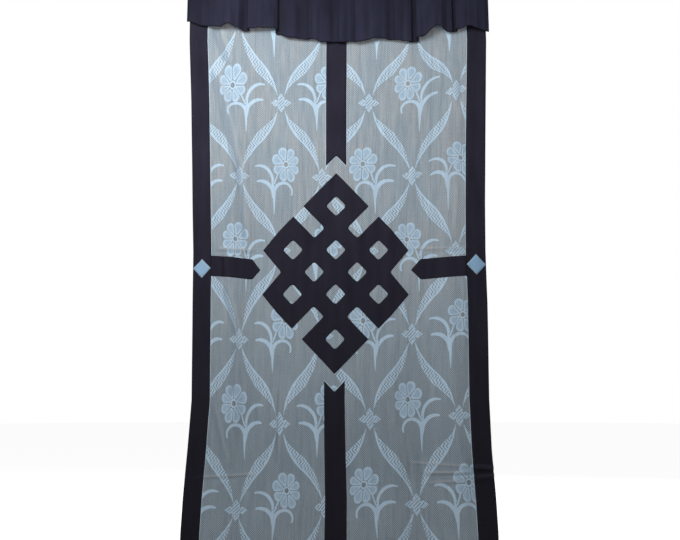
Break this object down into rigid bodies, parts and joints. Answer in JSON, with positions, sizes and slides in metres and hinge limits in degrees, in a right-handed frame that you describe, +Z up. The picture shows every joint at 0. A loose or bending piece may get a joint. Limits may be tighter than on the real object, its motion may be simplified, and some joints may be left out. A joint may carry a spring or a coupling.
{
  "type": "tibetan door curtain",
  "caption": "Hanging door curtain of sheer jacquard with navy borders and bands, an endless knot sewn in the middle and a pleated valance across the top.",
  "frame": {"origin": "the middle of the curtain's top edge", "axes": "+Z up along the drop, +X along the width to the right of a viewer who faces the front, and the front faces -Y"},
  "size_m": [0.9172, 0.0554, 1.8002],
  "materials": {
    "sheer_jacquard": "see-through grey ground with pale blue woven flowers, leaf bands and rosettes",
    "navy_cloth": "matt plain weave, very dark navy",
    "pale_blue_cloth": "matt plain weave, pale blue",
    "valance_cloth": "matt plain weave, dark navy"
  },
  "bodies": {
    "root": {"sheer_panel": "sheer_jacquard", "border_left": "navy_cloth", "border_right": "navy_cloth", "centre_band_upper": "navy_cloth", "centre_band_lower": "navy_cloth", "endless_knot": "navy_cloth", "arm_left": "navy_cloth", "arm_right": "navy_cloth", "diamond_left": "pale_blue_cloth", "diamond_right": "pale_blue_cloth", "valance": "valance_cloth"}
  },
  "joints": []
}
